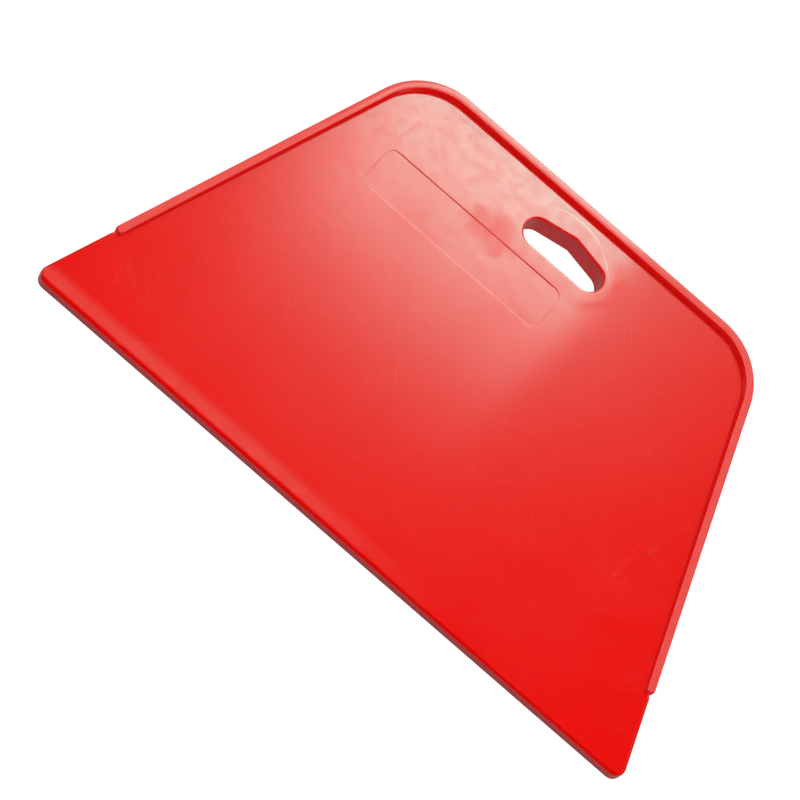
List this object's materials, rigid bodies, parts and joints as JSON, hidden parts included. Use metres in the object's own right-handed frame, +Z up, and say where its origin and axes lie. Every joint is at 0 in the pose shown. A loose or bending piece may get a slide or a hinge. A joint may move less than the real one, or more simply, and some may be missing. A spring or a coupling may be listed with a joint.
{
  "type": "squeegee applicator",
  "caption": "Flat trapezoid squeegee with a long bevelled blade, a raised grip bead on three sides, a peaked hang slot and a blank recessed label panel.",
  "frame": {"origin": "bottom centre of the bounding box, on the resting face", "axes": "+X along the blade, +Y from the blade to the grip edge, +Z up from the resting face"},
  "size_m": [0.1494, 0.0908, 0.0077],
  "materials": {
    "plate_plastic": "satin gloss moulded face with fine use scratches",
    "bead_plastic": "satin gloss moulded bead, slightly rubbed along its top"
  },
  "bodies": {
    "root": {"spreader_plate": "plate_plastic", "grip_bead": "bead_plastic"}
  },
  "joints": []
}
